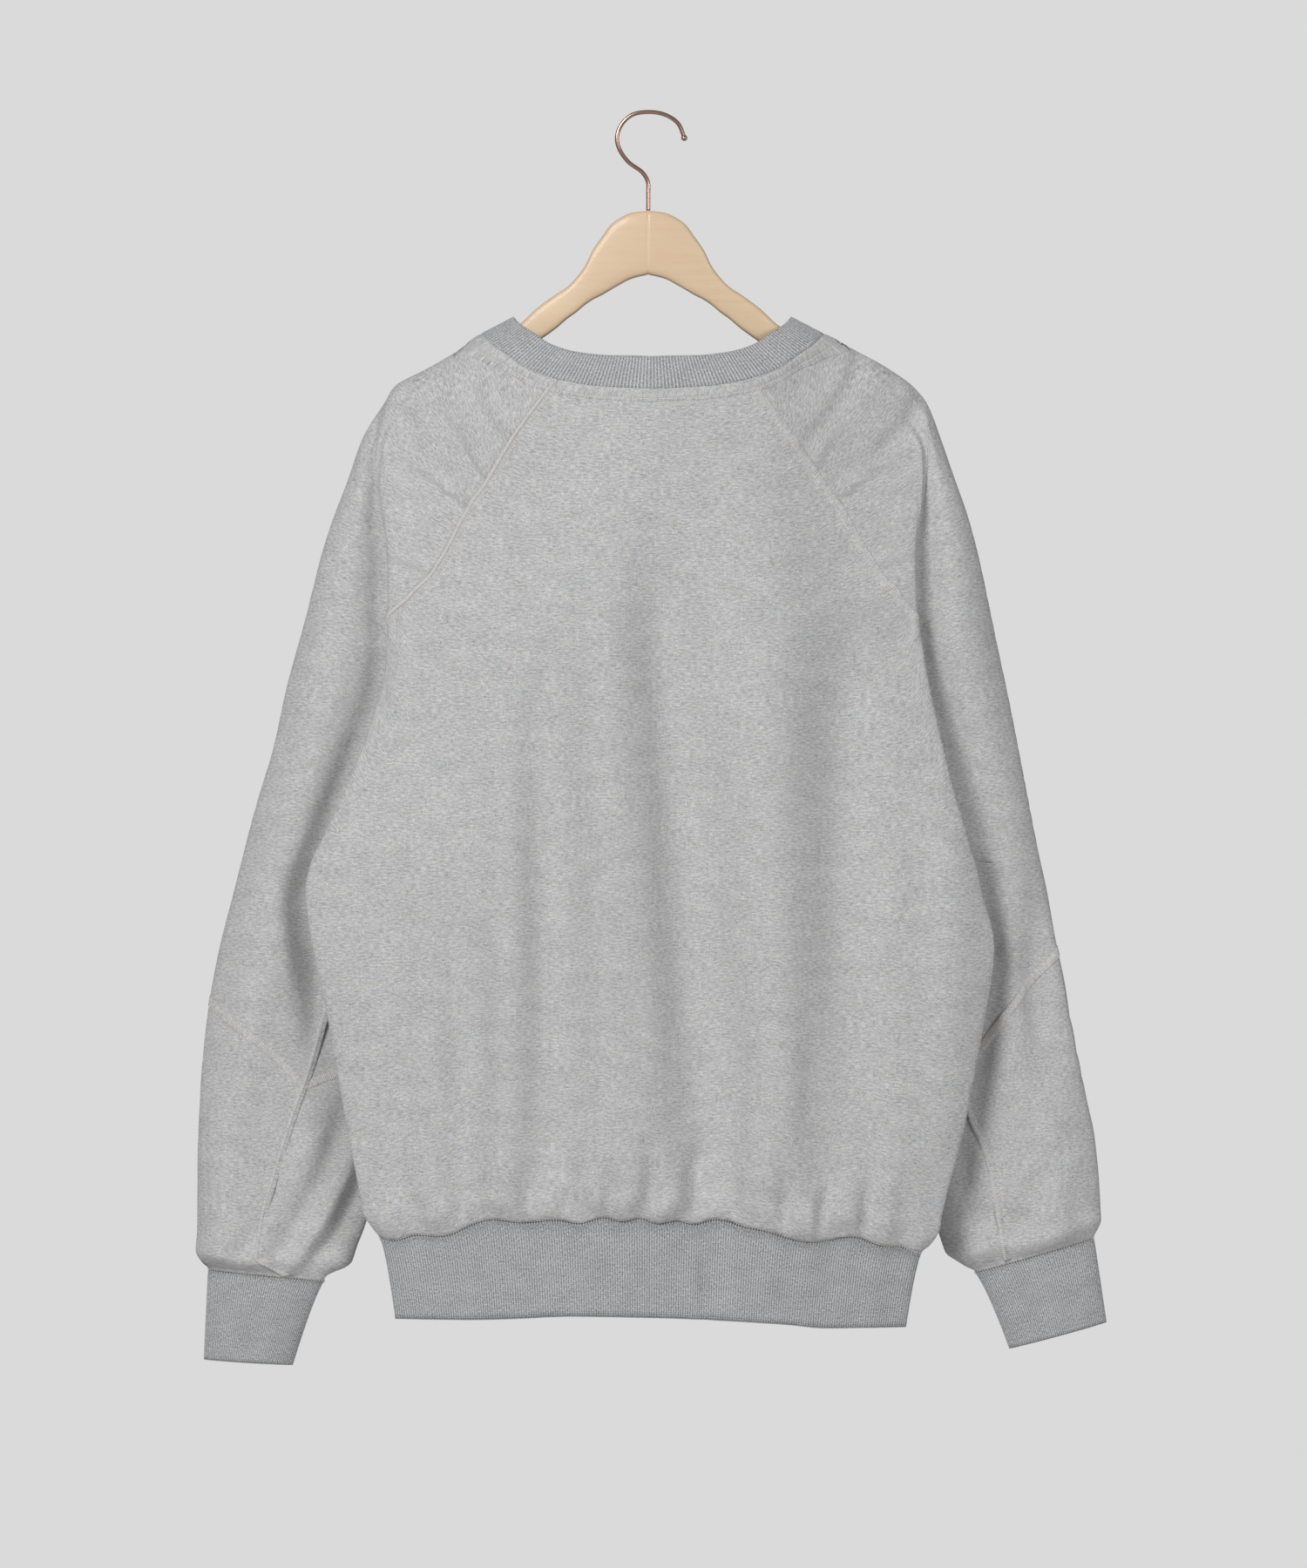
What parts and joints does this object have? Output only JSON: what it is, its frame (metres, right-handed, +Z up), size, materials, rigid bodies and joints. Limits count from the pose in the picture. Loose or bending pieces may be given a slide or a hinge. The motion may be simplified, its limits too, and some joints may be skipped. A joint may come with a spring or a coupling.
{
  "type": "crewneck sweatshirt on a wooden hanger",
  "caption": "Long-sleeved crewneck sweatshirt with raglan sleeves, ribbed neck, cuffs and hem, hanging open and flat on a wooden hanger with a metal hook.",
  "frame": {"origin": "inside top of the hanger's hook, where a rail or a peg carries it", "axes": "+Z up, -Y towards the viewer, who sees the garment's back, +X to the viewer's right"},
  "size_m": [0.6618, 0.1123, 0.9101],
  "materials": {
    "fleece": "soft heather grey loopback fleece",
    "rib_knit": "heather grey rib knit",
    "beech": "pale beech with a satin varnish",
    "hook_metal": "copper-coloured polished wire"
  },
  "bodies": {
    "root": {"back_panel": "fleece", "front_panel": "fleece", "left_upper_sleeve": "fleece", "right_upper_sleeve": "fleece", "left_forearm": "fleece", "right_forearm": "fleece", "neck_rib": "rib_knit", "hem_rib": "rib_knit", "left_cuff": "rib_knit", "right_cuff": "rib_knit", "hanger_wood": "beech", "hook": "hook_metal"}
  },
  "joints": []
}
